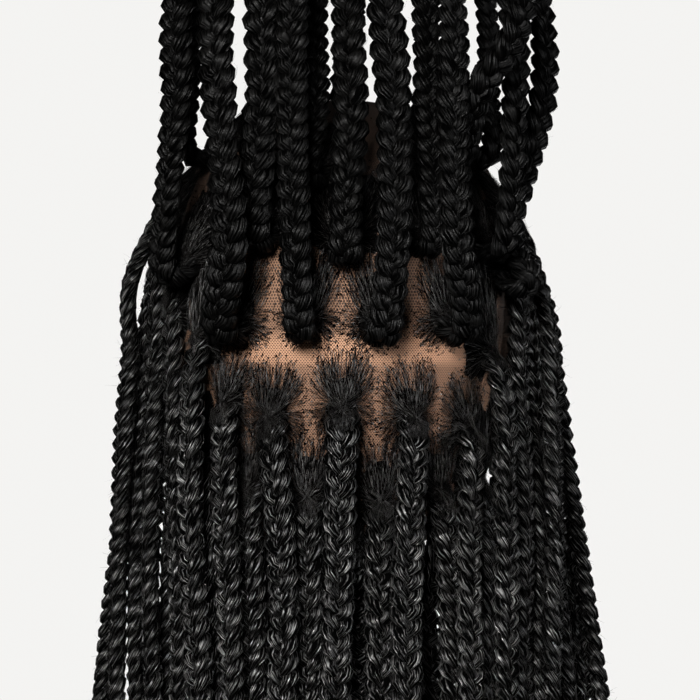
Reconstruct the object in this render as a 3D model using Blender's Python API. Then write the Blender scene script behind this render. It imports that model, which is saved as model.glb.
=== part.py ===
"""Box-braid wig on a full lace cap, its crown braids lifted into a tie.

The wig stands as it does on a head: +Z up, +Y the way the wearer faces, origin at the crown, where
the cap sits on the top of the head. Angles go round the head from the middle of the back, positive
towards +X. Heights are measured from the crown. Lengths are in metres unless a name ends in _MM.
"""
import math

import bmesh
import bpy
import numpy as np

# Head form that the cap follows
CROWN_HEIGHT = 0.088
NAPE_DROP = 0.095
HALF_WIDTH = 0.076
HALF_DEPTH = 0.098
ROUNDNESS = 2.3
NECK_WIDTH_LOSS = 0.30
NECK_DEPTH_LOSS = 0.28

# Lace cap
CAP_WALL = 0.0012
CAP_ROWS = 12
CAP_COLUMNS = 32
RIM_COLUMNS = ("angle", "height_mm")
RIM = (
    (0, -180),
    (37, -180),
    (60, -160),
    (80, -120),
    (96, -101),
    (112, -108),
    (130, -84),
    (155, -60),
    (180, -52),
)

# Braids
BRAID_LENGTH = 0.45
BRAID_HALF_WIDTH = 0.0052
BRAID_HALF_THICKNESS = 0.0036
TIP_HALF_WIDTH = 0.0028
TIP_HALF_THICKNESS = 0.0022
TAPER_LENGTH = 0.10
BRAID_SIDES = 6
ROOT_STATIONS = (0.0, 0.009, 0.018, 0.025)
HANGING_STATIONS = ROOT_STATIONS + (0.036, 0.055, 0.085, 0.125, 0.18, 0.26, 0.36, 0.474)
TURN_STATIONS = ROOT_STATIONS + (0.031, 0.037, 0.044, 0.055)
RISE_STATIONS = 4
TIE_STATIONS = (-0.038, -0.014, 0.014)
TAIL_STATIONS = 4
ROOT_LENGTH = 0.024
ROOT_LIFTS = (0.0012, 0.0019, 0.0034)
ROOT_SECTION_COLUMNS = ("distance_mm", "half_width_mm", "half_thickness_mm")
ROOT_SECTIONS = (
    (0, 4.5, 0.9),
    (9, 8.8, 1.5),
    (18, 8.0, 2.1),
    (24, 5.8, 3.2),
)
ROOT_BLEND = 0.008
CURVE_STEPS = 12
CURVE_SAMPLES = 400

# How the hanging braids drape
DRAPE_LIFT = 0.0046
DRAPE_TOP = -0.100
DRAPE_SIDE_FLARE = 0.111
DRAPE_BACK_FLARE = 0.020
DRAPE_FLARE_DROP = 0.22
MID_HEIGHT = -0.168
MID_DROP = 0.03
LOW_HEIGHT = -0.247
INNER_SETTLE_DROP = 0.05
FALL_STEPS = 12
FALL_CROWDING = 1.5
FALL_SPARE = 0.06

# How the lifted braids turn at the end of their box of lace
TURN_RADIUS = 0.0065
TURN_ANGLES = (45, 90, 135)
SIGHT_CLEARANCE = 0.012

# The lifted braids' places are given as they look from straight behind at eye level
EYE_DISTANCE = 1.1
EYE_HEIGHT = -0.104
LOWER_SIGHT = -0.058
MIDDLE_SIGHT = 0.001
UPPER_SIGHT = 0.043

# Tie round the lifted braids
TIE_CENTRE = (0.004, -0.050)
TIE_HEIGHT = 0.250
TIE_SPACING = 0.0100
TIE_BRAID_HALF = 0.0042
TIE_INNER_HALF_WIDTH = 0.0314
TIE_INNER_HALF_DEPTH = 0.0262
TIE_WALL = 0.005
TIE_BAND = 0.016
TIE_COLUMNS = 24
TIE_APPROACH = 0.03
TIE_GRIP = 0.020
TIE_GRIP_BLEND = 0.05
TAIL_RADIUS = 0.042
TAIL_RADIUS_LOSS = 1.10
TAIL_RISE = 0.028
TAIL_RISE_LOSS = 0.60
TAIL_ANGLES = (0, 35, 70, 105, 140, 175)
TAIL_DROP = 0.30

# name, angle and height of the braid's base, angles at mid and low height, distance outside the cap,
# drop over which the braid settles at that distance
HANGING_COLUMNS = (
    "name", "angle", "height_mm", "mid_angle", "low_angle", "lay_mm", "settle_mm",
)
HANGING = (
    ("back_braid_01", -35, -122, -30.5, -25.5, 4.5, 18),
    ("back_braid_02", -20.5, -127, -15.5, -13, 4.5, 18),
    ("back_braid_03", 0.5, -123, -0.5, -1, 4.5, 18),
    ("back_braid_04", 21, -127, 17.5, 15, 4.5, 18),
    ("back_braid_05", 41, -132, 35, 31.5, 4.5, 18),
    ("nape_braid_01", -31, -156, -27, -23, -5.8, 18),
    ("nape_braid_02", -10.5, -158, -9, -8.6, -5.8, 18),
    ("nape_braid_03", 12.5, -160, 10.5, 10, -5.8, 18),
    ("nape_braid_04", 33, -157, 32, 31, -5.8, 18),
    ("nape_braid_05", 51, -153, 48, 40.5, -5.8, 18),
    ("nape_braid_06", -50, -147, -44, -35, -5.8, 18),
    ("nape_braid_07", -41, -170, -28, -25, -24.5, 18),
    ("nape_braid_08", -21, -176, -9, -8, -16, 18),
    ("nape_braid_09", 3, -177, 6, 6, -24.5, 18),
    ("nape_braid_10", 24, -176, 16, 15.8, -16, 18),
    ("nape_braid_11", 41, -170, 27.5, 28.3, -16, 18),
    ("left_braid_01", -44, -99, -39.5, -33, 9, 18),
    ("left_braid_02", -59, -90, -47.5, -40.5, 4.5, 18),
    ("left_braid_03", -72, -56, -62, -50, 4.5, 18),
    ("left_braid_04", -89, -74, -71, -57, 4.5, 18),
    ("left_braid_05", -64, -124, -63, -55, -5.8, 18),
    ("left_braid_06", -86, -42, -70, -57.8, 13, 36),
    ("left_braid_07", -104, -48, -101, -100, 12, 75),
    ("left_braid_08", -113, -80, -113, -114, 4.5, 18),
    ("left_braid_09", -126, -76, -127, -128, 6, 18),
    ("left_braid_10", -140, -64, -146, -148, 6, 18),
    ("right_braid_01", 47, -104, 42, 37.5, 12.3, 18),
    ("right_braid_02", 61, -138, 56, 48.5, -5.8, 18),
    ("right_braid_03", 66, -52, 56.5, 47, 4.5, 18),
    ("right_braid_04", 73, -92, 65, 54, 4.5, 18),
    ("right_braid_05", 80, -60, 62, 52, 13.5, 42),
    ("right_braid_06", 96, -72, 84, 74, 4.5, 18),
    ("right_braid_07", 106, -44, 97, 88, 15.5, 62),
    ("right_braid_08", 112, -86, 104, 95, 10.5, 40),
    ("right_braid_09", 124, -76, 120, 112, 6, 18),
    ("right_braid_10", 140, -64, 147, 150, 6, 18),
)

# name, angle and height of the base, way the root is combed, offsets seen at three heights,
# depth there, half width, place in the tie: row from the nearest, place along the row
LIFTED_COLUMNS = (
    "name", "angle", "height_mm", "combed", "low_mm", "middle_mm", "upper_mm",
    "low_depth_mm", "upper_depth_mm", "half_width_mm", "tie_row", "tie_place",
)
LIFTED = (
    ("lifted_braid_01", -49.5, -70, 1, -66, -68, -68.5, -84, -76, 5.7, 1, -2),
    ("lifted_braid_02", -57, -27, 1, -64, -64, -62.5, -52, -50, 4.2, 2, -2.5),
    ("lifted_braid_03", -30, -92, 1, -47, -51, -52, -117, -106, 6.3, 0, -1.5),
    ("lifted_braid_04", -22, -59, 1, -32.5, -32.5, -32.5, -110, -103, 6.0, 1, -1),
    ("lifted_braid_05", -9.5, -91, 1, -19.5, -21, -20.5, -120, -116, 5.0, 0, -0.5),
    ("lifted_braid_06", -9, -38, 1, -10.5, -10.5, -10.5, -101, -84, 4.4, 2, -0.5),
    ("lifted_braid_07", 1, -64, 1, -0.5, 3.5, 3.5, -111, -104, 5.4, 1, 0),
    ("lifted_braid_08", 10, -92, 1, 22, 21.3, 17.8, -120, -116, 5.6, 0, 0.5),
    ("lifted_braid_09", 22.5, -61, 1, 34.5, 35.8, 35.8, -108, -100, 4.7, 1, 1),
    ("lifted_braid_10", 31, -92, 1, 48.5, 47.5, 46.5, -116, -108, 5.2, 0, 1.5),
    ("lifted_braid_11", 53, -28, 1, 58, 62, 61, -50, -46, 4.6, 3, 2),
    ("lifted_braid_12", 34, -36, 1, 56, 56, 76, -98, -108, 6.0, 1, 2),
    ("lifted_braid_13", 44, -62, 1, 66, 72.5, 70.5, -84, -80, 5.8, 2, 1.5),
    ("lifted_braid_14", 54.5, -74, 1, 70, 84, 82.5, -60, -44, 6.4, 2, 2.5),
    ("lifted_braid_15", -160, -30, -1, -32.5, -32.5, -32.5, 60, 54, 5.0, 3, -1),
    ("lifted_braid_16", -121, -30, -1, -51.5, -51.5, -51.5, 36, 30, 5.0, 3, -2),
    ("lifted_braid_17", 180, -29, -1, 3.5, 3.5, 3.5, 62, 50, 5.0, 4, -0.5),
    ("lifted_braid_18", 160, -30, -1, 35, 35, 35, 58, 48, 5.0, 4, 0.5),
    ("lifted_braid_19", 122, -30, -1, 47, 46.5, 46.5, 36, 30, 5.0, 4, 1.5),
    ("lifted_braid_20", -96, -8, -1, -35, -34, -34, 4, 2, 5.0, 2, -1.5),
    ("lifted_braid_21", 94, -8, -1, 37, 36, 36, 4, 0, 5.0, 3, 1),
    ("lifted_braid_22", 180, -7, -1, 3.5, 3.5, 3.5, 26, 14, 5.0, 2, 0.5),
)

HAIR = (0.012, 0.011, 0.010, 1.0)
LACE = (0.42, 0.24, 0.15, 1.0)
TIE = (0.02, 0.02, 0.02, 1.0)


def clear_scene():
    for item in list(bpy.data.objects):
        bpy.data.objects.remove(item, do_unlink=True)


def make_material(name, colour, roughness):
    material = bpy.data.materials.new(name)
    material.use_nodes = True
    shader = material.node_tree.nodes["Principled BSDF"]
    shader.inputs["Base Color"].default_value = colour
    shader.inputs["Roughness"].default_value = roughness
    shader.inputs["Metallic"].default_value = 0.0
    return material


def smooth_step(value):
    value = min(max(value, 0.0), 1.0)
    return value * value * (3.0 - 2.0 * value)


def cap_half_axes(height):
    """Half width and half depth of the head form at a height below the crown."""
    if height > -CROWN_HEIGHT:
        level = (height + CROWN_HEIGHT) / CROWN_HEIGHT
        ring = max(1.0 - level ** ROUNDNESS, 0.0) ** (1.0 / ROUNDNESS)
        return HALF_WIDTH * ring, HALF_DEPTH * ring
    drop = (-CROWN_HEIGHT - height) / NAPE_DROP
    width = HALF_WIDTH * (1.0 - NECK_WIDTH_LOSS * drop ** 2)
    depth = HALF_DEPTH * (1.0 - NECK_DEPTH_LOSS * drop ** 2)
    return width, depth


def ring_point(half_axes, angle, height):
    turn = math.radians(angle)
    return np.array((half_axes[0] * math.sin(turn), -half_axes[1] * math.cos(turn), height))


def cap_point(angle, height):
    return ring_point(cap_half_axes(height), angle, height)


def cap_normal(angle, height):
    """Outward direction of the head form, from two short steps along it."""
    step = 0.0004
    height = min(height, -step * 2)
    across = cap_point(angle + 0.5, height) - cap_point(angle - 0.5, height)
    along = cap_point(angle, height - step) - cap_point(angle, height + step)
    normal = np.cross(along, across)
    return normal / np.linalg.norm(normal)


def lifted_off_cap(angle, height, lift):
    return cap_point(angle, height) + cap_normal(angle, height) * lift


def height_from_sweep(sweep):
    """Height of the head form at a sweep from 0 at the crown, past 90 at its widest."""
    if sweep <= 90.0:
        rise = math.cos(math.radians(sweep)) ** (2.0 / ROUNDNESS)
        return -CROWN_HEIGHT * (1.0 - rise)
    return -CROWN_HEIGHT - NAPE_DROP * (sweep - 90.0) / 90.0


def sweep_from_height(height):
    if height >= -CROWN_HEIGHT:
        level = (height + CROWN_HEIGHT) / CROWN_HEIGHT
        return math.degrees(math.acos(level ** (ROUNDNESS / 2.0)))
    return 90.0 + 90.0 * (-CROWN_HEIGHT - height) / NAPE_DROP


def rim_height(angle):
    """Height of the cap's edge: low on the nape, arched over the ears, high on the forehead."""
    turn = abs((angle + 180.0) % 360.0 - 180.0)
    for (low, low_height), (high, high_height) in zip(RIM, RIM[1:]):
        if turn <= high:
            share = smooth_step((turn - low) / (high - low))
            return (low_height + (high_height - low_height) * share) / 1000.0
    return RIM[-1][1] / 1000.0


def mesh_object(name, vertices, faces, material):
    mesh = bpy.data.meshes.new(name)
    mesh.from_pydata([tuple(vertex) for vertex in vertices], [], faces)
    mesh.validate()
    build = bmesh.new()
    build.from_mesh(mesh)
    bmesh.ops.recalc_face_normals(build, faces=build.faces)
    build.to_mesh(mesh)
    build.free()
    mesh.materials.append(material)
    mesh.shade_smooth()
    item = bpy.data.objects.new(name, mesh)
    bpy.context.collection.objects.link(item)
    return item


def add_lace_cap(material):
    """A thin shell between the head form and one wall inside it, open at its lower edge."""
    vertices = []
    faces = []
    for depth in (0.0, CAP_WALL):
        first = len(vertices)
        vertices.append((0.0, 0.0, -depth))
        for row in range(1, CAP_ROWS + 1):
            for column in range(CAP_COLUMNS):
                angle = 360.0 * column / CAP_COLUMNS
                sweep = sweep_from_height(rim_height(angle)) * row / CAP_ROWS
                height = height_from_sweep(sweep)
                point = cap_point(angle, height) - cap_normal(angle, height) * depth
                vertices.append(point)
        for column in range(CAP_COLUMNS):
            after = (column + 1) % CAP_COLUMNS
            faces.append((first, first + 1 + column, first + 1 + after))
            for row in range(CAP_ROWS - 1):
                upper = first + 1 + row * CAP_COLUMNS
                lower = upper + CAP_COLUMNS
                faces.append((upper + column, lower + column, lower + after, upper + after))
    shell = 1 + CAP_ROWS * CAP_COLUMNS
    edge = 1 + (CAP_ROWS - 1) * CAP_COLUMNS
    for column in range(CAP_COLUMNS):
        after = (column + 1) % CAP_COLUMNS
        faces.append((edge + column, shell + edge + column, shell + edge + after, edge + after))
    return mesh_object("lace_cap", vertices, faces, material)


def curve_through(points):
    """Points of one smooth curve through the given ones, with no overshoot at close points."""
    points = [np.array(point, dtype=float) for point in points]
    first = points[0] * 2.0 - points[1]
    last = points[-1] * 2.0 - points[-2]
    row = [first] + points + [last]
    curve = []
    for four in zip(row, row[1:], row[2:], row[3:]):
        knots = [0.0]
        for near, far in zip(four, four[1:]):
            knots.append(knots[-1] + math.sqrt(np.linalg.norm(far - near)))
        for step in range(CURVE_STEPS):
            place = knots[1] + (knots[2] - knots[1]) * step / CURVE_STEPS
            curve.append(spline_point(four, knots, place))
    curve.append(points[-1])
    return np.array(curve)


def spline_point(four, knots, place):
    """A point between the middle two of four points, by three rounds of mixing neighbours."""
    row = list(four)
    for spans in (((0, 1), (1, 2), (2, 3)), ((0, 2), (1, 3)), ((1, 2),)):
        merged = []
        for index, (low, high) in enumerate(spans):
            share = (place - knots[low]) / (knots[high] - knots[low])
            merged.append(row[index] * (1.0 - share) + row[index + 1] * share)
        row = merged
    return row[0]


def distances_along(curve):
    steps = np.linalg.norm(np.diff(curve, axis=0), axis=1)
    return np.concatenate(((0.0,), np.cumsum(steps)))


def drape_half_axes(height, lay):
    """Half axes of the ring that braids hang on, lay outside the cap at its widest."""
    near = max(lay, DRAPE_LIFT)
    if height >= DRAPE_TOP:
        width, depth = cap_half_axes(height)
        return width + near, depth + near
    width, depth = cap_half_axes(DRAPE_TOP)
    drop = DRAPE_TOP - height
    spread = near + (lay - near) * smooth_step(drop / INNER_SETTLE_DROP)
    flare = min(drop, DRAPE_FLARE_DROP)
    return width + spread + flare * DRAPE_SIDE_FLARE, depth + spread + flare * DRAPE_BACK_FLARE


def hanging_point(row, height):
    """Centre of a hanging braid at a height below its base."""
    base = row["height_mm"] / 1000.0
    heights = (LOW_HEIGHT, min(MID_HEIGHT, base - MID_DROP), base)
    angle = np.interp(height, heights, (row["low_angle"], row["mid_angle"], row["angle"]))
    width, depth = cap_half_axes(max(height, -CROWN_HEIGHT - NAPE_DROP))
    settled = smooth_step((base - height) * 1000.0 / row["settle_mm"])
    drape = drape_half_axes(height, row["lay_mm"] / 1000.0)
    half_axes = (
        (width + DRAPE_LIFT) * (1.0 - settled) + drape[0] * settled,
        (depth + DRAPE_LIFT) * (1.0 - settled) + drape[1] * settled,
    )
    return ring_point(half_axes, angle, height)


def root_points(row, combed):
    """The flat root along its box of lace, ending at the braid's base."""
    base = row["height_mm"] / 1000.0
    start = sweep_from_height(base) - combed * math.degrees(ROOT_LENGTH / CROWN_HEIGHT)
    middle = (start + sweep_from_height(base)) / 2.0
    return [
        lifted_off_cap(row["angle"], height_from_sweep(start), ROOT_LIFTS[0]),
        lifted_off_cap(row["angle"], height_from_sweep(middle), ROOT_LIFTS[1]),
        lifted_off_cap(row["angle"], base, ROOT_LIFTS[2]),
    ]


def hanging_curve(row):
    base = row["height_mm"] / 1000.0
    points = root_points(row, 1)
    for step in range(1, FALL_STEPS + 1):
        drop = (BRAID_LENGTH + FALL_SPARE) * (step / FALL_STEPS) ** FALL_CROWDING
        points.append(hanging_point(row, base - drop))
    return curve_through(points)


def seen_place(offset_mm, height, depth_mm):
    """Place of a point that looks to be at an offset and height from behind, at a given depth."""
    scale = (EYE_DISTANCE + depth_mm / 1000.0) / EYE_DISTANCE
    across = offset_mm / 1000.0 * scale
    up = EYE_HEIGHT + (height - EYE_HEIGHT) * scale
    return np.array((across, depth_mm / 1000.0, up))


def tie_slot(row):
    """Place of a braid in the tie, in five rows packed like a honeycomb."""
    across = row["tie_place"] * TIE_SPACING
    back = (row["tie_row"] - 2) * TIE_SPACING * math.sqrt(0.75)
    return np.array((across, back))


def tail_points(row):
    """An arch out of the tie, wider and higher for the braids at its middle."""
    slot = tie_slot(row)
    reach = np.linalg.norm(slot)
    outward = slot / reach if reach > 0.0 else np.array((0.0, 1.0))
    radius = TAIL_RADIUS - TAIL_RADIUS_LOSS * reach
    start = TIE_HEIGHT + TAIL_RISE - TAIL_RISE_LOSS * reach
    foot = np.array(TIE_CENTRE) + slot
    points = []
    for turn in TAIL_ANGLES:
        out = foot + outward * radius * (1.0 - math.cos(math.radians(turn)))
        points.append((out[0], out[1], start + radius * math.sin(math.radians(turn))))
    last = points[-1]
    points.append((last[0], last[1], last[2] - TAIL_DROP))
    return points


def lifted_curve(row):
    """Root, turn, rise to the tie and tail."""
    combed = row["combed"]
    points = root_points(row, combed)
    base = points[-1]
    normal = cap_normal(row["angle"], row["height_mm"] / 1000.0)
    along = base - points[-2]
    along = along - normal * along.dot(normal)
    along = along / np.linalg.norm(along)
    for turn in TURN_ANGLES if combed > 0 else TURN_ANGLES[:1]:
        angle = math.radians(turn)
        out = normal * TURN_RADIUS * (1.0 - math.cos(angle))
        points.append(base + out + along * TURN_RADIUS * math.sin(angle))
    sights = (
        (row["low_mm"], LOWER_SIGHT, row["low_depth_mm"]),
        (row["middle_mm"], MIDDLE_SIGHT, (row["low_depth_mm"] + row["upper_depth_mm"]) / 2.0),
        (row["upper_mm"], UPPER_SIGHT, row["upper_depth_mm"]),
    )
    for offset_mm, height, depth_mm in sights:
        place = seen_place(offset_mm, height, depth_mm)
        if place[2] > points[-1][2] + SIGHT_CLEARANCE:
            points.append(place)
    slot = tie_slot(row)
    for rise in (-TIE_APPROACH, 0.0):
        points.append((TIE_CENTRE[0] + slot[0], TIE_CENTRE[1] + slot[1], TIE_HEIGHT + rise))
    return curve_through(points + tail_points(row))


def distance_to_tie(curve):
    """Distance along a lifted braid to the point where it first reaches the tie."""
    reached = int(np.argmax(curve[:, 2] >= TIE_HEIGHT))
    return distances_along(curve)[reached]


def lifted_stations(tie_distance):
    """Distances of the rings: close at the root and turn, then at the tie and along its tail."""
    grip = [tie_distance + offset for offset in TIE_STATIONS]
    rise = np.linspace(TURN_STATIONS[-1], grip[0], RISE_STATIONS + 2)[1:-1]
    tail = np.linspace(grip[-1], ROOT_LENGTH + BRAID_LENGTH, TAIL_STATIONS + 1)[1:]
    return list(TURN_STATIONS) + list(rise) + grip + list(tail)


def section_sizes(distance, row, tie_distance):
    """Half width and half thickness of the root and braid at a distance from the root's start."""
    half_width = row.get("half_width_mm", BRAID_HALF_WIDTH * 1000.0) / 1000.0
    places = [section[0] / 1000.0 for section in ROOT_SECTIONS] + [ROOT_LENGTH + ROOT_BLEND]
    widths = [section[1] / 1000.0 for section in ROOT_SECTIONS] + [half_width]
    thicknesses = [section[2] / 1000.0 for section in ROOT_SECTIONS] + [BRAID_HALF_THICKNESS]
    width = np.interp(distance, places, widths)
    thickness = np.interp(distance, places, thicknesses)
    left = ROOT_LENGTH + BRAID_LENGTH - distance
    share = min(max(left / TAPER_LENGTH, 0.0), 1.0)
    width = TIP_HALF_WIDTH + (width - TIP_HALF_WIDTH) * share
    thickness = TIP_HALF_THICKNESS + (thickness - TIP_HALF_THICKNESS) * share
    if tie_distance is not None:
        grip = 1.0 - smooth_step((abs(distance - tie_distance) - TIE_GRIP) / TIE_GRIP_BLEND)
        width += (min(TIE_BRAID_HALF, width) - width) * grip
        if share == 1.0:
            thickness += (TIE_BRAID_HALF - thickness) * grip
    return width, thickness


def carried_frames(points, normal):
    """Width and thickness directions at each point, carried along the curve without twist."""
    tangents = np.gradient(points, axis=0)
    tangents /= np.linalg.norm(tangents, axis=1)[:, None]
    frames = []
    for tangent in tangents:
        normal = normal - tangent * normal.dot(tangent)
        normal = normal / np.linalg.norm(normal)
        frames.append((np.cross(tangent, normal), normal))
    return frames


def add_braid(row, curve, stations, material, tie_distance=None):
    """A tube with an oval section along the curve, through the stations' distances."""
    along = distances_along(curve)
    fine = np.linspace(0.0, ROOT_LENGTH + BRAID_LENGTH, CURVE_SAMPLES)
    points = np.column_stack([np.interp(fine, along, curve[:, axis]) for axis in range(3)])
    frames = carried_frames(points, cap_normal(row["angle"], row["height_mm"] / 1000.0))
    vertices = []
    faces = []
    for station in stations:
        index = int(round(station / fine[-1] * (CURVE_SAMPLES - 1)))
        across, outward = frames[index]
        width, thickness = section_sizes(fine[index], row, tie_distance)
        for side in range(BRAID_SIDES):
            turn = 2.0 * math.pi * side / BRAID_SIDES
            vertex = points[index] + across * width * math.cos(turn)
            vertices.append(vertex + outward * thickness * math.sin(turn))
    for ring in range(len(stations) - 1):
        for side in range(BRAID_SIDES):
            low = ring * BRAID_SIDES
            high = low + BRAID_SIDES
            after = (side + 1) % BRAID_SIDES
            faces.append((low + side, low + after, high + after, high + side))
    faces.append(tuple(reversed(range(BRAID_SIDES))))
    faces.append(tuple(range(len(vertices) - BRAID_SIDES, len(vertices))))
    return mesh_object(row["name"], vertices, faces, material)


def add_hair_tie(material):
    """A plain band with an oval hole for the gathered braids."""
    profile = (
        (0.0, -TIE_BAND / 2.0),
        (TIE_WALL, -TIE_BAND / 3.0),
        (TIE_WALL, TIE_BAND / 3.0),
        (0.0, TIE_BAND / 2.0),
    )
    vertices = []
    faces = []
    for column in range(TIE_COLUMNS):
        turn = 2.0 * math.pi * column / TIE_COLUMNS
        for wall, rise in profile:
            across = TIE_CENTRE[0] + (TIE_INNER_HALF_WIDTH + wall) * math.cos(turn)
            back = TIE_CENTRE[1] + (TIE_INNER_HALF_DEPTH + wall) * math.sin(turn)
            vertices.append((across, back, TIE_HEIGHT + rise))
    for column in range(TIE_COLUMNS):
        low = column * len(profile)
        high = (column + 1) % TIE_COLUMNS * len(profile)
        for corner in range(len(profile)):
            after = (corner + 1) % len(profile)
            faces.append((low + corner, high + corner, high + after, low + after))
    return mesh_object("hair_tie", vertices, faces, material)


def named_rows(columns, table):
    return [dict(zip(columns, values)) for values in table]


def main():
    clear_scene()
    hair = make_material("hair", HAIR, 0.5)
    add_lace_cap(make_material("lace", LACE, 0.8))
    for row in named_rows(HANGING_COLUMNS, HANGING):
        add_braid(row, hanging_curve(row), HANGING_STATIONS, hair)
    for row in named_rows(LIFTED_COLUMNS, LIFTED):
        curve = lifted_curve(row)
        tie_distance = distance_to_tie(curve)
        add_braid(row, curve, lifted_stations(tie_distance), hair, tie_distance)
    add_hair_tie(make_material("tie", TIE, 0.7))


main()
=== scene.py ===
"""Looks of the box-braid wig: plaited braids, combed roots, lace net and elastic tie.

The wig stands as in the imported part: +Z up, origin at the crown, +Y the way the wearer faces.
Each braid follows the same path as its solid. Lengths are in metres, apart from names that end
in _mm or _MM and places on the fibre map, which are in millimetres.
"""
import math

import bpy
import numpy as np
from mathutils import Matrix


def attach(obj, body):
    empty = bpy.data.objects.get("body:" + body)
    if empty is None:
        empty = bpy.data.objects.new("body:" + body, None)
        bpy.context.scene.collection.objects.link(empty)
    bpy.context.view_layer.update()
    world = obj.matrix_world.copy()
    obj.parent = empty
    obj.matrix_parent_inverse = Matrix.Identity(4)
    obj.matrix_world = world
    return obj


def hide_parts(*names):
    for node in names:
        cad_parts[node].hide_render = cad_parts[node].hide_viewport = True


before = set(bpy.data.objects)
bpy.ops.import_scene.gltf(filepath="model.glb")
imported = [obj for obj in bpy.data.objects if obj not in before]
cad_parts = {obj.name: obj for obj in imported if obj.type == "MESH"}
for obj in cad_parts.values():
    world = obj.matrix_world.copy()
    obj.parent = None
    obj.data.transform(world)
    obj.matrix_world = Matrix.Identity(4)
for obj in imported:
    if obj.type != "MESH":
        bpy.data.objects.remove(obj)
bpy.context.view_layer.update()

# Head form that the cap follows
CROWN_HEIGHT = 0.088
NAPE_DROP = 0.095
HALF_WIDTH = 0.076
HALF_DEPTH = 0.098
ROUNDNESS = 2.3
NECK_WIDTH_LOSS = 0.30
NECK_DEPTH_LOSS = 0.28
CAP_WALL = 0.0012
RIM_MM = (
    (0, -180),
    (37, -180),
    (60, -160),
    (80, -120),
    (96, -101),
    (112, -108),
    (130, -84),
    (155, -60),
    (180, -52),
)

# Sizes of the braids and of their flat roots
BRAID_LENGTH = 0.45
BRAID_HALF_WIDTH = 0.0052
BRAID_HALF_THICKNESS = 0.0036
TIP_HALF_WIDTH = 0.0028
TIP_HALF_THICKNESS = 0.0022
TAPER_LENGTH = 0.10
ROOT_LENGTH = 0.024
ROOT_LIFTS = (0.0012, 0.0019, 0.0034)
ROOT_SECTIONS_MM = (
    (0, 4.5, 0.9),
    (9, 8.8, 1.5),
    (18, 8.0, 2.1),
    (24, 5.8, 3.2),
)
ROOT_BLEND = 0.008
CURVE_STEPS = 12

# Drape of the hanging braids
DRAPE_LIFT = 0.0046
DRAPE_TOP = -0.100
DRAPE_SIDE_FLARE = 0.111
DRAPE_BACK_FLARE = 0.020
DRAPE_FLARE_DROP = 0.22
MID_HEIGHT = -0.168
MID_DROP = 0.03
LOW_HEIGHT = -0.247
INNER_SETTLE_DROP = 0.05
FALL_STEPS = 12
FALL_CROWDING = 1.5
FALL_SPARE = 0.06

# Turn, rise, tie and tails of the lifted braids
TURN_RADIUS = 0.0065
TURN_ANGLES = (45, 90, 135)
SIGHT_CLEARANCE = 0.012
EYE_DISTANCE = 1.1
EYE_HEIGHT = -0.104
LOWER_SIGHT = -0.058
MIDDLE_SIGHT = 0.001
UPPER_SIGHT = 0.043
TIE_CENTRE = (0.004, -0.050)
TIE_HEIGHT = 0.250
TIE_SPACING = 0.0100
TIE_BRAID_HALF = 0.0042
TIE_INNER_HALF_WIDTH = 0.0314
TIE_INNER_HALF_DEPTH = 0.0262
TIE_BAND = 0.016
TIE_APPROACH = 0.03
TIE_GRIP = 0.020
TIE_GRIP_BLEND = 0.05
TAIL_RADIUS = 0.042
TAIL_RADIUS_LOSS = 1.10
TAIL_RISE = 0.028
TAIL_RISE_LOSS = 0.60
TAIL_ANGLES = (0, 35, 70, 105, 140, 175)
TAIL_DROP = 0.30

# Where each braid starts on the cap, as an angle and a height, and how it runs from there
HANGING_COLUMNS = ("angle", "height_mm", "mid_angle", "low_angle", "lay_mm", "settle_mm")
HANGING = {
    "back": (
        (-35, -122, -30.5, -25.5, 4.5, 18),
        (-20.5, -127, -15.5, -13, 4.5, 18),
        (0.5, -123, -0.5, -1, 4.5, 18),
        (21, -127, 17.5, 15, 4.5, 18),
        (41, -132, 35, 31.5, 4.5, 18),
    ),
    "nape": (
        (-31, -156, -27, -23, -5.8, 18),
        (-10.5, -158, -9, -8.6, -5.8, 18),
        (12.5, -160, 10.5, 10, -5.8, 18),
        (33, -157, 32, 31, -5.8, 18),
        (51, -153, 48, 40.5, -5.8, 18),
        (-50, -147, -44, -35, -5.8, 18),
        (-41, -170, -28, -25, -24.5, 18),
        (-21, -176, -9, -8, -16, 18),
        (3, -177, 6, 6, -24.5, 18),
        (24, -176, 16, 15.8, -16, 18),
        (41, -170, 27.5, 28.3, -16, 18),
    ),
    "left": (
        (-44, -99, -39.5, -33, 9, 18),
        (-59, -90, -47.5, -40.5, 4.5, 18),
        (-72, -56, -62, -50, 4.5, 18),
        (-89, -74, -71, -57, 4.5, 18),
        (-64, -124, -63, -55, -5.8, 18),
        (-86, -42, -70, -57.8, 13, 36),
        (-104, -48, -101, -100, 12, 75),
        (-113, -80, -113, -114, 4.5, 18),
        (-126, -76, -127, -128, 6, 18),
        (-140, -64, -146, -148, 6, 18),
    ),
    "right": (
        (47, -104, 42, 37.5, 12.3, 18),
        (61, -138, 56, 48.5, -5.8, 18),
        (66, -52, 56.5, 47, 4.5, 18),
        (73, -92, 65, 54, 4.5, 18),
        (80, -60, 62, 52, 13.5, 42),
        (96, -72, 84, 74, 4.5, 18),
        (106, -44, 97, 88, 15.5, 62),
        (112, -86, 104, 95, 10.5, 40),
        (124, -76, 120, 112, 6, 18),
        (140, -64, 147, 150, 6, 18),
    ),
}
LIFTED_COLUMNS = (
    "angle", "height_mm", "combed", "low_mm", "middle_mm", "upper_mm",
    "low_depth_mm", "upper_depth_mm", "half_width_mm", "tie_row", "tie_place",
)
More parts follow.
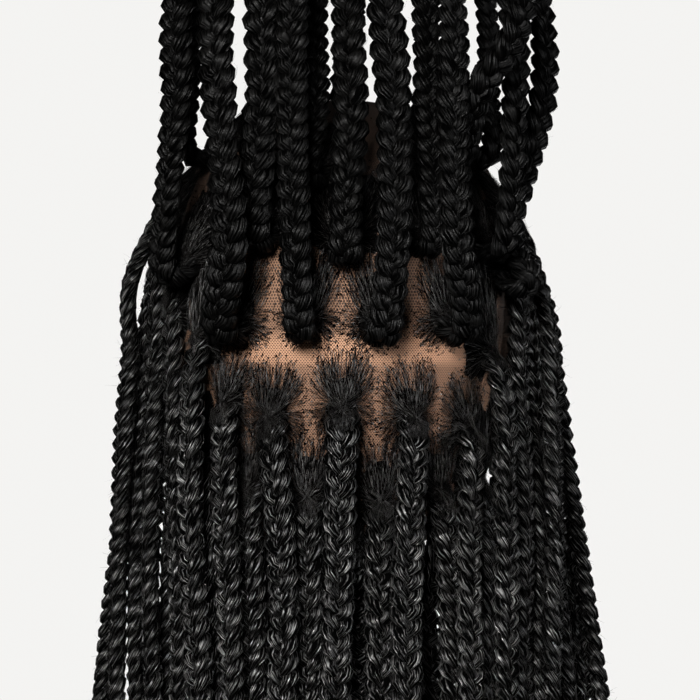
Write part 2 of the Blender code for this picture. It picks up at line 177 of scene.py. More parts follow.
LIFTED = (
    (-49.5, -70, 1, -66, -68, -68.5, -84, -76, 5.7, 1, -2),
    (-57, -27, 1, -64, -64, -62.5, -52, -50, 4.2, 2, -2.5),
    (-30, -92, 1, -47, -51, -52, -117, -106, 6.3, 0, -1.5),
    (-22, -59, 1, -32.5, -32.5, -32.5, -110, -103, 6.0, 1, -1),
    (-9.5, -91, 1, -19.5, -21, -20.5, -120, -116, 5.0, 0, -0.5),
    (-9, -38, 1, -10.5, -10.5, -10.5, -101, -84, 4.4, 2, -0.5),
    (1, -64, 1, -0.5, 3.5, 3.5, -111, -104, 5.4, 1, 0),
    (10, -92, 1, 22, 21.3, 17.8, -120, -116, 5.6, 0, 0.5),
    (22.5, -61, 1, 34.5, 35.8, 35.8, -108, -100, 4.7, 1, 1),
    (31, -92, 1, 48.5, 47.5, 46.5, -116, -108, 5.2, 0, 1.5),
    (53, -28, 1, 58, 62, 61, -50, -46, 4.6, 3, 2),
    (34, -36, 1, 56, 56, 76, -98, -108, 6.0, 1, 2),
    (44, -62, 1, 66, 72.5, 70.5, -84, -80, 5.8, 2, 1.5),
    (54.5, -74, 1, 70, 84, 82.5, -60, -44, 6.4, 2, 2.5),
    (-160, -30, -1, -32.5, -32.5, -32.5, 60, 54, 5.0, 3, -1),
    (-121, -30, -1, -51.5, -51.5, -51.5, 36, 30, 5.0, 3, -2),
    (180, -29, -1, 3.5, 3.5, 3.5, 62, 50, 5.0, 4, -0.5),
    (160, -30, -1, 35, 35, 35, 58, 48, 5.0, 4, 0.5),
    (122, -30, -1, 47, 46.5, 46.5, 36, 30, 5.0, 4, 1.5),
    (-96, -8, -1, -35, -34, -34, 4, 2, 5.0, 2, -1.5),
    (94, -8, -1, 37, 36, 36, 4, 0, 5.0, 3, 1),
    (180, -7, -1, 3.5, 3.5, 3.5, 26, 14, 5.0, 2, 0.5),
)

# First and last number of the braids that others cover or that lie far from the back: their
# plaits are plainer and have fewer hairs
PLAINER = {"nape": (6, 11), "left": (8, 10), "right": (8, 10), "lifted": (15, 22)}
HANGING_SEED = 100
LIFTED_SEED = 200

# The plait: three strands that cross in turn
PLAIT_PERIOD = 0.0186
PLAIT_PERIOD_POWER = 0.8
PLAIT_WIDTH_LIMIT = 0.0062
PLAIT_LEAD = 0.006
PLAIT_OPENING = 0.008
PLAIT_CLOSING = 0.012
START_SHARE = 0.35
END_SHARE = 0.12
STRAND_SWING = 0.58
STRAND_DEPTH = 0.58
STRAND_HALF_WIDTH = 0.60
STRAND_HALF_THICKNESS = 0.54
STRAND_LUMP = 0.30
STRAND_LUMP_TURN = 0.6
RIDGES = 3.0
RIDGE_SIZE = 0.05
RIDGE_NOISE = 0.02
RIDGE_PITCH = 0.030
CLOSE_RINGS = 12
FAR_RINGS = 5
CLOSE_SIDES = 7
PLAIN_SIDES = 6
CLOSE_HEIGHTS = (-0.27, 0.06)
PATH_SAMPLES = 900
FILLER_WIDENING = 1.45

# Slow unevenness along a braid, as how much and over what length, and where it sets in
TWIST = (math.radians(16.0), 0.06)
SWAY = (0.0007, 0.045)
RISE = (0.0005, 0.05)
SIZE_WANDER = (0.05, 0.03)
PERIOD_WANDER = (0.10, 0.04)
LUMP_WANDER = (0.07, 0.007)
FREE_START = 0.01
FREE_BLEND = 0.05

# Fibre map, in millimetres: the span that starting places are drawn from, and the way round
# a strand
MAP_SPAN = 900.0
MAP_ROUND = 12.0

# Loose hairs: ribbons that narrow to a share of their width
HAIR_WIDTH = 0.00015
RIBBON_END = 0.25
RIBBON_MAP_WIDTH = 0.1

# Hairs that run over the lobes of the plait
LOBE_HAIRS_PER_METRE = 2100
LOBE_HAIR_STEPS = 6
LOBE_HAIR_LENGTHS = (0.0030, 0.0075)
LOBE_HAIR_TURN = 0.35
LOBE_HAIR_CLEARANCE = 1.02
LOBE_HAIR_SPREAD = 0.05
LOBE_HAIR_LIFT = 0.42

# Short stray hairs
FUZZ_WIDTH = 0.00011
FUZZ_PER_METRE = 1100
FAR_FUZZ_PER_METRE = 200
FUZZ_START = 0.004
FUZZ_FOOT = 0.80
FUZZ_LEANS = (0.4, 1.6)
FUZZ_SCATTER = 0.35
FUZZ_LENGTHS = (0.0016, 0.0052)
FUZZ_BEND = 0.35
FUZZ_SHARES = (0.0, 0.4, 0.75, 1.0)

# Brush of hair at the end of a braid
TUFT_HAIRS = 40
TUFT_DEPTH = 0.010
TUFT_FOOT = 0.0014
TUFT_REACH = (2.0, 9.0)
TUFT_SPREAD = 0.0022
TUFT_BOW = 0.0005
TUFT_THINNING = 0.7

# Patch of lace round each braid's base: width scale, share of it that dense hair covers,
# centre and half height
BOX_HALF_WIDTH = 0.0108
BOX_SQUARENESS = 0.72
BOX_FORMS = {
    "crown": (1.45, 0.98, -0.0160, 0.0225),
    "side": (1.25, 0.90, -0.0090, 0.0240),
    "lifted": (1.14, 0.50, -0.0040, 0.0150),
    "back": (1.14, 0.44, -0.0010, 0.0180),
    "nape": (1.14, 0.55, -0.0040, 0.0180),
}
CROWN_FROM_MM = -75
SIDE_FROM_ANGLE = 43
NAPE_FROM_MM = -140
FINE_SCALE = 1.2
LEAST_SWEEP = 2.0
LEAST_HALF_WIDTH = 0.02
SPREAD_LIMITS = (0.8, 1.6)

# Mound of dense hair combed from the patch
MOUND_HEIGHT = 0.0052
MOUND_FLOOR = 0.0002
MOUND_POWER = 1.2
MOUND_RINGS = 8
MOUND_COLUMNS = 30
MOUND_RAGGEDNESS = 0.12
MOUND_BUMPS = 0.10
MOUND_TOP = 0.93
MOUND_SINK = -0.0003
MOUND_MAP_ROUND = 1.4
MOUND_MAP_UP = 14.0

# Hairs drawn in from the patch to the plait, and where they land on it
ROOT_HAIRS = 900
SIDE_ROOT_HAIRS = 360
PLAIN_ROOT_HAIRS = 150
ROOT_HAIR_AREA = (0.06, 1.15)
ROOT_HAIR_SWAY = 0.0009
ROOT_HAIR_LOFTS = (0.0001, 0.0010)
ROOT_HAIR_LEAST_LOFT = 0.15
ROOT_HAIR_GATHER = 0.0034
ROOT_HAIR_SHARES = (0.0, 0.25, 0.52, 0.82)
ROOT_HAIR_FACING = 0.4
LANDINGS = ((-0.001, 1.00), (0.0030, 0.90))
LANDING_REACH = (-0.0015, 0.0025)
LANDING_RISE = (-0.08, 0.14)
LANDING_OVER = 0.7
LANDING_SCATTER = 0.14

# Knots along the edge of the patch, each with a short hair
BRISTLES = 220
SIDE_BRISTLES = 50
BRISTLE_REACH = (0.84, 1.20)
BRISTLE_FOOT = 0.0001
BRISTLE_AIM = 0.6
BRISTLE_SCATTER = 0.45
BRISTLE_LENGTHS = (0.0018, 0.0044)
BRISTLE_CURL = 0.8
BRISTLE_RISE = 0.0011
BRISTLE_ARCH = 2.6
BRISTLE_SHARES = (0.0, 0.3, 0.65, 1.0)
BRISTLE_THINNING = 0.8
KNOT_SIZES = (0.00026, 0.00042)
KNOT_RINGS = ((-0.3, 1.0), (0.8, 0.15))
KNOT_CORNERS = ((1, 0), (0, 1.5), (-1, 0), (0, -1.5))

# The cap's grid, and its fibre map round and down the head in millimetres a radian
CAP_COLUMNS = 96
CAP_ROWS = 54
CAP_FIRST_SHARE = 0.02
CAP_MAP_ROUND = 80.0
CAP_MAP_DOWN = 95.0
LACE_CELL_MM = 1.20

# The wound elastic: cords wider than they are high, which lean and bulge a little
TIE_COLUMNS = 96
TIE_SIDES = 12
TIE_WINDS = 5
TIE_SEED = 77
TIE_LEAN = 0.0006
TIE_BULGE = 0.0004
CORD_WIDTH = 1.35
CORD_HEIGHT = 1.12
CORD_MAP_LENGTH = 190.0
CORD_MAP_STEP = 7.0

# Hair: stretch and relief of its streaks, then for each kind the dark and light colour, the
# roughness, the least and most shine, and the noise between which a streak runs
HAIR_STREAKS = (2.9, 0.20)
HAIR_BUMP = 0.0010
HAIR_LOOKS = {
    "hair": (
        (0.0004, 0.0004, 0.0004), (0.0060, 0.0056, 0.0052), 0.38, (0.00, 1.60), (0.52, 0.70)),
    # The raised hair is a darker, duller copy of the hair: painted shade on the lifted braids
    "hair_raised_painted_shade": (
        (0.0003, 0.0003, 0.0003), (0.0012, 0.0011, 0.0010), 0.46, (0.00, 0.19), (0.44, 0.66)),
    "hair_combed": (
        (0.0005, 0.0004, 0.0004), (0.0175, 0.0152, 0.0134), 0.46, (0.00, 1.40), (0.52, 0.74)),
    # The heart is a near-black, dull copy of the hair: painted shade under the root hairs that lie
    # over it
    "hair_heart_painted_shade": (
        (0.0003, 0.0003, 0.0003), (0.0012, 0.0010, 0.0009), 0.50, (0.00, 0.10), (0.46, 0.68)),
}

# Lace: the net's holes and threads, then painted light and shade by height, then a darkening to the
# sides
# Tan threads, then the holes, dark brown: painted shade, standing for a shaded scalp seen through
# them
LACE_NET = (
    (0.20, (0.250, 0.138, 0.083)),
    (0.50, (0.052, 0.025, 0.014)),
)
LACE_PAINTED_LIGHT_HEIGHTS = (-0.200, 0.0)
# Painted light and shade by height: darker low down, partly a darker net and partly painted shade;
# a bright band at the parting, painted light; painted shade over the crown
LACE_PAINTED_LIGHT_AND_SHADE = (
    (0.00, (0.26, 0.25, 0.24)),
    (0.30, (0.42, 0.41, 0.40)),
    (0.445, (0.50, 0.49, 0.48)),
    (0.462, (1.00, 1.00, 1.00)),
    (0.495, (1.00, 1.00, 1.00)),
    (0.520, (0.44, 0.43, 0.42)),
    (0.700, (0.50, 0.48, 0.46)),
    (0.800, (0.12, 0.11, 0.10)),
    (1.00, (0.05, 0.045, 0.04)),
)
LACE_SHINE = 0.25
LACE_BUMP = 0.0002
LACE_REACH = (0.050, 0.070)
LACE_SIDES = (
    (0.40, (1.00, 1.00, 1.00)),
    (0.70, (0.10, 0.09, 0.08)),
)
TIE_STREAKS = (1.4, 1.8)
TIE_BUMP = 0.0004
TIE_KNIT = (
    (0.3, (0.006, 0.006, 0.007)),
    (0.7, (0.03, 0.03, 0.032)),
)

# Camera, lights (place, aim, size, watts, colour, spread in degrees), room and floor
SENSOR_WIDTH = 36.0
FOCAL_LENGTH_PIXELS = 2619
PICTURE_PIXELS = 700
CAMERA_PLACE = (0.0034, -EYE_DISTANCE, EYE_HEIGHT)
LIGHTS = {
    "key": (
        (-0.35, -1.7, 0.42), (0.0, 0.0, -0.36), (0.6, 0.6), 11.5, (1.0, 0.99, 0.97), 50.0),
    "fill": (
        (1.5, -0.7, 0.1), (0.10, 0.0, -0.10), (0.5, 0.7), 21.0, (0.97, 0.98, 1.0), 180.0),
    "front": (
        (0.3, 1.7, -0.45), (0.0, 0.0, -0.12), (1.0, 1.0), 9.0, (1.0, 1.0, 1.0), 180.0),
}
ROOM_SEEN = (0.905, 0.90, 0.885, 1.0)
ROOM_LIGHT = (1.0, 0.98, 0.95, 1.0)
ROOM_STRENGTH = 0.014
FLOOR_HEIGHT = -0.66
FLOOR_SIZE = 5.0
FLOOR_COLOUR = (0.22, 0.22, 0.21, 1.0)
FLOOR_GLOW = (0.80, 0.79, 0.77, 1.0)
FLOOR_GLOW_STRENGTH = 0.85


def named_rows(group, columns, table):
    """A dictionary for each braid of a group, with its name and whether it is a plainer one."""
    first, last = PLAINER.get(group, (0, -1))
    rows = []
    for number, values in enumerate(table, 1):
        row = dict(zip(columns, values))
        row["name"] = f"{group}_braid_{number:02}"
        row["plain"] = first <= number <= last
        rows.append(row)
    return rows


def smooth_step(value):
    value = np.clip(value, 0.0, 1.0)
    return value * value * (3.0 - 2.0 * value)


def unit(vectors):
    return vectors / np.linalg.norm(vectors, axis=-1, keepdims=True)


def full_turn(count):
    return 2.0 * math.pi * np.arange(count) / count


def between(values, limits):
    return (values > limits[0]) & (values < limits[1])


def spread_rows(wanted, known, rows):
    """Rows of 3 numbers, given at known distances, at any array of wanted distances."""
    return np.stack([np.interp(wanted, known, rows[:, axis]) for axis in range(3)], axis=-1)


def cap_half_axes(height):
    """Half width and half depth of the head form at heights below the crown."""
    level = np.clip((height + CROWN_HEIGHT) / CROWN_HEIGHT, 0.0, 1.0)
    ring = (1.0 - level ** ROUNDNESS) ** (1.0 / ROUNDNESS)
    drop = np.maximum((-CROWN_HEIGHT - height) / NAPE_DROP, 0.0)
    width = HALF_WIDTH * ring * (1.0 - NECK_WIDTH_LOSS * drop ** 2)
    depth = HALF_DEPTH * ring * (1.0 - NECK_DEPTH_LOSS * drop ** 2)
    return width, depth


def ring_point(half_axes, angle, height):
    turn = np.radians(angle)
    across = half_axes[0] * np.sin(turn)
    back = -half_axes[1] * np.cos(turn)
    return np.stack(np.broadcast_arrays(across, back, height), axis=-1)


def cap_point(angle, height):
    return ring_point(cap_half_axes(height), angle, height)


def cap_normal(angle, height):
    """Outward direction of the head form, from two short steps along it."""
    step = 0.0004
    height = np.minimum(height, -step * 2)
    across = cap_point(angle + 0.5, height) - cap_point(angle - 0.5, height)
    along = cap_point(angle, height - step) - cap_point(angle, height + step)
    return unit(np.cross(along, across))


def height_from_sweep(sweep):
    """Height of the head form at a sweep from 0 at the crown, past 90 at its widest."""
    near = np.cos(np.radians(np.clip(sweep, 0.0, 90.0))) ** (2.0 / ROUNDNESS)
    upper = -CROWN_HEIGHT * (1.0 - near)
    return np.where(sweep <= 90.0, upper, -CROWN_HEIGHT - NAPE_DROP * (sweep - 90.0) / 90.0)


def sweep_from_height(height):
    if height >= -CROWN_HEIGHT:
        level = (height + CROWN_HEIGHT) / CROWN_HEIGHT
        return math.degrees(math.acos(level ** (ROUNDNESS / 2.0)))
    return 90.0 + 90.0 * (-CROWN_HEIGHT - height) / NAPE_DROP


def rim_height(angle):
    turn = abs((angle + 180.0) % 360.0 - 180.0)
    for (low, low_height), (high, high_height) in zip(RIM_MM, RIM_MM[1:]):
        if turn <= high:
            share = smooth_step((turn - low) / (high - low))
            return (low_height + (high_height - low_height) * share) / 1000.0
    return RIM_MM[-1][1] / 1000.0


def curve_through(points):
    """Points of one smooth curve through the given ones, with no overshoot at close points."""
    points = [np.array(point, dtype=float) for point in points]
    first = points[0] * 2.0 - points[1]
    last = points[-1] * 2.0 - points[-2]
    row = [first] + points + [last]
    curve = []
    for four in zip(row, row[1:], row[2:], row[3:]):
        knots = [0.0]
        for near, far in zip(four, four[1:]):
            knots.append(knots[-1] + math.sqrt(np.linalg.norm(far - near)))
        for step in range(CURVE_STEPS):
            place = knots[1] + (knots[2] - knots[1]) * step / CURVE_STEPS
            curve.append(spline_point(four, knots, place))
    curve.append(points[-1])
    return np.array(curve)


def spline_point(four, knots, place):
    row = list(four)
    for spans in (((0, 1), (1, 2), (2, 3)), ((0, 2), (1, 3)), ((1, 2),)):
        merged = []
        for index, (low, high) in enumerate(spans):
            share = (place - knots[low]) / (knots[high] - knots[low])
            merged.append(row[index] * (1.0 - share) + row[index + 1] * share)
        row = merged
    return row[0]


def distances_along(curve):
    steps = np.linalg.norm(np.diff(curve, axis=0), axis=1)
    return np.concatenate(((0.0,), np.cumsum(steps)))


def drape_half_axes(height, lay):
    near = max(lay, DRAPE_LIFT)
    if height >= DRAPE_TOP:
        width, depth = cap_half_axes(height)
        return width + near, depth + near
    width, depth = cap_half_axes(DRAPE_TOP)
    drop = DRAPE_TOP - height
    spread = near + (lay - near) * smooth_step(drop / INNER_SETTLE_DROP)
    flare = min(drop, DRAPE_FLARE_DROP)
    return width + spread + flare * DRAPE_SIDE_FLARE, depth + spread + flare * DRAPE_BACK_FLARE


def hanging_point(row, height):
    base = row["height_mm"] / 1000.0
    heights = (LOW_HEIGHT, min(MID_HEIGHT, base - MID_DROP), base)
    angle = np.interp(height, heights, (row["low_angle"], row["mid_angle"], row["angle"]))
    width, depth = cap_half_axes(max(height, -CROWN_HEIGHT - NAPE_DROP))
    settled = smooth_step((base - height) * 1000.0 / row["settle_mm"])
    drape = drape_half_axes(height, row["lay_mm"] / 1000.0)
    half_axes = (
        (width + DRAPE_LIFT) * (1.0 - settled) + drape[0] * settled,
        (depth + DRAPE_LIFT) * (1.0 - settled) + drape[1] * settled,
    )
    return ring_point(half_axes, angle, height)


def root_points(row, combed):
    base = row["height_mm"] / 1000.0
    start = sweep_from_height(base) - combed * math.degrees(ROOT_LENGTH / CROWN_HEIGHT)
    middle = (start + sweep_from_height(base)) / 2.0
    places = (height_from_sweep(start), height_from_sweep(middle), base)
    points = []
    for height, lift in zip(places, ROOT_LIFTS):
        normal = cap_normal(row["angle"], height)
        points.append(cap_point(row["angle"], height) + normal * lift)
    return points


def hanging_curve(row):
    base = row["height_mm"] / 1000.0
    points = root_points(row, 1)
    for step in range(1, FALL_STEPS + 1):
        drop = (BRAID_LENGTH + FALL_SPARE) * (step / FALL_STEPS) ** FALL_CROWDING
        points.append(hanging_point(row, base - drop))
    return curve_through(points)


def seen_place(offset_mm, height, depth_mm):
    scale = (EYE_DISTANCE + depth_mm / 1000.0) / EYE_DISTANCE
    across = offset_mm / 1000.0 * scale
    up = EYE_HEIGHT + (height - EYE_HEIGHT) * scale
    return np.array((across, depth_mm / 1000.0, up))


def tie_slot(row):
    across = row["tie_place"] * TIE_SPACING
    back = (row["tie_row"] - 2) * TIE_SPACING * math.sqrt(0.75)
    return np.array((across, back))


def tail_points(row):
    slot = tie_slot(row)
    reach = np.linalg.norm(slot)
    outward = slot / reach if reach > 0.0 else np.array((0.0, 1.0))
    radius = TAIL_RADIUS - TAIL_RADIUS_LOSS * reach
    start = TIE_HEIGHT + TAIL_RISE - TAIL_RISE_LOSS * reach
    foot = np.array(TIE_CENTRE) + slot
    points = []
    for turn in TAIL_ANGLES:
        out = foot + outward * radius * (1.0 - math.cos(math.radians(turn)))
        points.append((out[0], out[1], start + radius * math.sin(math.radians(turn))))
    last = points[-1]
    points.append((last[0], last[1], last[2] - TAIL_DROP))
    return points


def lifted_curve(row):
    combed = row["combed"]
    points = root_points(row, combed)
    base = points[-1]
    normal = cap_normal(row["angle"], row["height_mm"] / 1000.0)
    along = base - points[-2]
    along = unit(along - normal * along.dot(normal))
    for turn in TURN_ANGLES if combed > 0 else TURN_ANGLES[:1]:
        angle = math.radians(turn)
        out = normal * TURN_RADIUS * (1.0 - math.cos(angle))
        points.append(base + out + along * TURN_RADIUS * math.sin(angle))
    sights = (
        (row["low_mm"], LOWER_SIGHT, row["low_depth_mm"]),
        (row["middle_mm"], MIDDLE_SIGHT, (row["low_depth_mm"] + row["upper_depth_mm"]) / 2.0),
        (row["upper_mm"], UPPER_SIGHT, row["upper_depth_mm"]),
    )
    for offset_mm, height, depth_mm in sights:
        place = seen_place(offset_mm, height, depth_mm)
        if place[2] > points[-1][2] + SIGHT_CLEARANCE:
            points.append(place)
    slot = tie_slot(row)
    for rise in (-TIE_APPROACH, 0.0):
        points.append((TIE_CENTRE[0] + slot[0], TIE_CENTRE[1] + slot[1], TIE_HEIGHT + rise))
    return curve_through(points + tail_points(row))


def distance_to_tie(curve):
    reached = int(np.argmax(curve[:, 2] >= TIE_HEIGHT))
    return distances_along(curve)[reached]


def section_sizes(distance, row, tie_distance):
    """Half width and half thickness of the braid at distances from the root's start."""
    half_width = row.get("half_width_mm", BRAID_HALF_WIDTH * 1000.0) / 1000.0
    plait = (ROOT_LENGTH + ROOT_BLEND, half_width, BRAID_HALF_THICKNESS)
    places, widths, thicknesses = np.vstack((np.array(ROOT_SECTIONS_MM) / 1000.0, plait)).T
    width = np.interp(distance, places, widths)
    thickness = np.interp(distance, places, thicknesses)
    left = ROOT_LENGTH + BRAID_LENGTH - distance
    share = np.clip(left / TAPER_LENGTH, 0.0, 1.0)
    width = TIP_HALF_WIDTH + (width - TIP_HALF_WIDTH) * share
    thickness = TIP_HALF_THICKNESS + (thickness - TIP_HALF_THICKNESS) * share
    if tie_distance is not None:
        grip = 1.0 - smooth_step((np.abs(distance - tie_distance) - TIE_GRIP) / TIE_GRIP_BLEND)
        width += (np.minimum(TIE_BRAID_HALF, width) - width) * grip
        thickness += np.where(share == 1.0, (TIE_BRAID_HALF - thickness) * grip, 0.0)
    return width, thickness


def slow_noise(rng, places, wavelength):
    """Smooth random values between about -1 and 1 along a length."""
    count = int(places[-1] / wavelength) + 4
    knots = rng.uniform(-1.0, 1.0, count)
    spot = places / wavelength
    low = spot.astype(int)
    share = smooth_step(spot - low)
    return knots[low] * (1.0 - share) + knots[low + 1] * share


def wander(rng, places, unevenness):
    size, wavelength = unevenness
    return size * slow_noise(rng, places, wavelength)


class Path:
    """Places, directions and sizes along one braid, from its root's start to its tip."""

    def __init__(self, row, curve, tie_distance, rng):
        along = distances_along(curve)
        self.fine = np.linspace(0.0, ROOT_LENGTH + BRAID_LENGTH, PATH_SAMPLES)
        points = spread_rows(self.fine, along, curve)
        tangents = unit(np.gradient(points, axis=0))
        normal = cap_normal(row["angle"], row["height_mm"] / 1000.0)
        normals = np.empty_like(points)
        for index, tangent in enumerate(tangents):
            normal = normal - tangent * normal.dot(tangent)
            normal = normal / np.linalg.norm(normal)
            normals[index] = normal
        acrosses = np.cross(tangents, normals)
        free = smooth_step((self.fine - ROOT_LENGTH - FREE_START) / FREE_BLEND)
        if tie_distance is not None:
            from_tie = np.abs(self.fine - tie_distance)
            free = free * smooth_step((from_tie - TIE_GRIP) / TIE_GRIP_BLEND)
        twist = (wander(rng, self.fine, TWIST) * free)[:, None]
        sway = (wander(rng, self.fine, SWAY) * free)[:, None]
        rise = (wander(rng, self.fine, RISE) * free)[:, None]
        self.normals = normals * np.cos(twist) - acrosses * np.sin(twist)
        self.acrosses = acrosses * np.cos(twist) + normals * np.sin(twist)
        self.points = points + acrosses * sway + normals * rise
        width, thickness = section_sizes(self.fine, row, tie_distance)
        self.width = width * (1.0 + wander(rng, self.fine, SIZE_WANDER))
        self.thickness = thickness * (1.0 + wander(rng, self.fine, SIZE_WANDER))
        scale = np.minimum(width, PLAIT_WIDTH_LIMIT) / BRAID_HALF_WIDTH
        period = PLAIT_PERIOD * scale ** PLAIT_PERIOD_POWER
        period = period * (1.0 + wander(rng, self.fine, PERIOD_WANDER))
        self.phase = np.concatenate(((0.0,), np.cumsum(np.diff(self.fine) / period[1:])))

    def at(self, distance):
        """Point, across, outward, half width, half thickness and phase at distances."""
        point = spread_rows(distance, self.fine, self.points)
        across = unit(spread_rows(distance, self.fine, self.acrosses))
        outward = unit(spread_rows(distance, self.fine, self.normals))
        width = np.interp(distance, self.fine, self.width)
        thickness = np.interp(distance, self.fine, self.thickness)
        return point, across, outward, width, thickness, np.interp(distance, self.fine, self.phase)


def add_object(name, data):
    item = bpy.data.objects.new(name, data)
    bpy.context.collection.objects.link(item)
    return item


class Weave:
    """Collects grids of quads, with texture places in millimetres, for one mesh."""

    def __init__(self):
        self.points = []
        self.faces = []
        self.places = []
        self.kinds = []
        self.kind = 0
        self.count = 0

    def grids(self, points, places, closed):
        """Adds many grids of rows by columns of points, with their places on the fibre map.

        A closed grid joins its last column to its first, and places has one column more.
        """
        many, rows, columns = points.shape[:3]
        index = np.arange(many * rows * columns).reshape(many, rows, columns) + self.count
        if closed:
            index = np.concatenate((index, index[:, :, :1]), axis=2)
        corners = (
            (slice(None, -1), slice(None, -1)),
            (slice(None, -1), slice(1, None)),
            (slice(1, None), slice(1, None)),
            (slice(1, None), slice(None, -1)),
        )
        faces = np.stack([index[:, down, over] for down, over in corners], axis=-1)
        spots = np.stack([places[:, down, over] for down, over in corners], axis=-2)
        self.points.append(points.reshape(-1, 3))
        self.faces.append(faces.reshape(-1, 4))
        self.places.append(spots.reshape(-1, 2))
        self.kinds.append(np.full(faces.size // 4, self.kind, dtype=np.int32))
        self.count += many * rows * columns

    def piece(self, name, materials, slot, *nodes):
        points = np.concatenate(self.points).astype(np.float32)
        faces = np.concatenate(self.faces).astype(np.int32)
        places = np.concatenate(self.places).astype(np.float32)
        mesh = bpy.data.meshes.new(name)
        mesh.vertices.add(len(points))
        mesh.vertices.foreach_set("co", points.ravel())
        mesh.loops.add(faces.size)
        mesh.loops.foreach_set("vertex_index", faces.ravel())
        mesh.polygons.add(len(faces))
        mesh.polygons.foreach_set("loop_start", np.arange(0, faces.size, 4, dtype=np.int32))
        layer = mesh.uv_layers.new(name="fibre")
        layer.data.foreach_set("uv", places.ravel())
        mesh.update(calc_edges=True)
        mesh.shade_smooth()
        for material in materials:
            mesh.materials.append(material)
        mesh.polygons.foreach_set("material_index", np.concatenate(self.kinds))
        item = add_object(name, mesh)
        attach(item, "root")
        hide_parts(*nodes)


def strand_centres(path, distance, start):
    """Centre line, wide and thick directions, turn and sizes of one strand at distances."""
    point, across, outward, width, thickness, phase = path.at(distance)
    turn = 2.0 * math.pi * (phase + start)
    swing = (STRAND_SWING * width * np.sin(turn))[:, None]
    depth = (-STRAND_DEPTH * thickness * np.sin(2.0 * turn))[:, None]
    centre = point + across * swing + outward * depth
    tangent = unit(np.gradient(centre, axis=0))
    wide = unit(np.cross(outward, tangent))
    return centre, wide, np.cross(tangent, wide), turn, width, thickness


def add_plait(weave, path, rng, sides, near_rings):
    """Three crossing strands, thick at the plait's edges and thin where they cross."""
    close = between(path.points[:, 2], CLOSE_HEIGHTS)
    density = np.where(close, near_rings, FAR_RINGS)
    rings = np.concatenate(((0.0,), np.cumsum(np.diff(path.phase) * density[1:])))
    start = np.interp(ROOT_LENGTH - PLAIT_LEAD, path.fine, rings)
    wanted = np.linspace(start, rings[-1], int(rings[-1] - start) + 1)
    distance = np.interp(wanted, rings, path.fine)
    corner = full_turn(sides)
    end = smooth_step((path.fine[-1] - distance) / PLAIT_CLOSING)
    opening = smooth_step((distance - ROOT_LENGTH + PLAIT_LEAD) / PLAIT_OPENING)
    shrink = END_SHARE + (1.0 - END_SHARE) * end
    shrink = shrink * (START_SHARE + (1.0 - START_SHARE) * opening)
    strands = []
    for strand in range(3):
        centre, wide, thick, turn, width, thickness = strand_centres(path, distance, strand / 3.0)
        lump = 1.0 - STRAND_LUMP * np.cos(2.0 * turn + STRAND_LUMP_TURN)
        lump = lump * (1.0 + wander(rng, distance, LUMP_WANDER))
        half_width = (STRAND_HALF_WIDTH * width * lump * shrink)[:, None]
        half_thickness = (STRAND_HALF_THICKNESS * thickness * lump * shrink)[:, None]
        roll = 2.0 * math.pi * distance[:, None] / RIDGE_PITCH + rng.uniform(0.0, 6.28)
        ridge = 1.0 + RIDGE_SIZE * np.cos(RIDGES * corner[None, :] + roll)
        ridge = ridge + rng.uniform(-RIDGE_NOISE, RIDGE_NOISE, ridge.shape)
        ring = (
            centre[:, None, :]
            + wide[:, None, :] * (half_width * np.cos(corner) * ridge)[:, :, None]
            + thick[:, None, :] * (half_thickness * np.sin(corner) * ridge)[:, :, None]
        )
        places = np.empty((len(distance), sides + 1, 2))
        places[:, :, 0] = np.arange(sides + 1) * MAP_ROUND / sides + rng.uniform(0.0, MAP_SPAN)
        places[:, :, 1] = distance[:, None] * 1000.0 + rng.uniform(0.0, MAP_SPAN)
        weave.grids(ring[None], places[None], True)
        strands.append((distance, centre, wide * half_width, thick * half_thickness))
    return strands


def add_lobe_hairs(weave, strands, rng, per_metre, heights):
    """Fine hairs that follow the strands over their lobes, each end standing off a little."""
    for distance, centre, wide, thick in strands:
        count = int(BRAID_LENGTH * per_metre / 3.0)
        start = rng.uniform(distance[0], distance[-1] - PLAIT_CLOSING, count)
        start = start[between(np.interp(start, distance, centre[:, 2]), heights)]
        count = len(start)
        steps = np.linspace(0.0, 1.0, LOBE_HAIR_STEPS)[None, :]
        along = start[:, None] + steps * rng.uniform(*LOBE_HAIR_LENGTHS, count)[:, None]
        around = rng.uniform(0.0, 2.0 * math.pi, count)[:, None]
        around = around + steps * rng.normal(0.0, LOBE_HAIR_TURN, count)[:, None]
        off = LOBE_HAIR_CLEARANCE + rng.uniform(0.0, LOBE_HAIR_SPREAD, count)[:, None]
        off = off + rng.uniform(0.0, LOBE_HAIR_LIFT, count)[:, None] * steps ** 2
        middle = spread_rows(along, distance, centre)
        side = spread_rows(along, distance, wide)
        face = spread_rows(along, distance, thick)
        turn_side = np.cos(around)[..., None]
        turn_face = np.sin(around)[..., None]
        hairs = middle + (side * turn_side + face * turn_face) * off[..., None]
        flat = unit(face * turn_side - side * turn_face)
        add_ribbons(weave, hairs, flat, HAIR_WIDTH / 2.0, rng)


def add_ribbons(weave, hairs, flat, half_width, rng):
    """Flat hairs: hairs by steps by 3, and flat the way that each is wide at each step."""
    many, steps = hairs.shape[:2]
    taper = np.linspace(1.0, RIBBON_END, steps)[None, :, None]
    offset = flat * half_width * taper
    points = np.stack((hairs - offset, hairs + offset), axis=2)
    places = np.empty((many, steps, 2, 2))
    places[..., 0] = rng.uniform(0.0, MAP_SPAN, many)[:, None, None]
    places[:, :, 1, 0] += RIBBON_MAP_WIDTH
    length = np.linalg.norm(hairs[:, -1] - hairs[:, 0], axis=1)
    run = np.linspace(0.0, 1.0, steps)[None, :] * length[:, None] * 1000.0
    places[..., 1] = (rng.uniform(0.0, MAP_SPAN, many)[:, None] + run)[:, :, None]
    weave.grids(points, places, False)


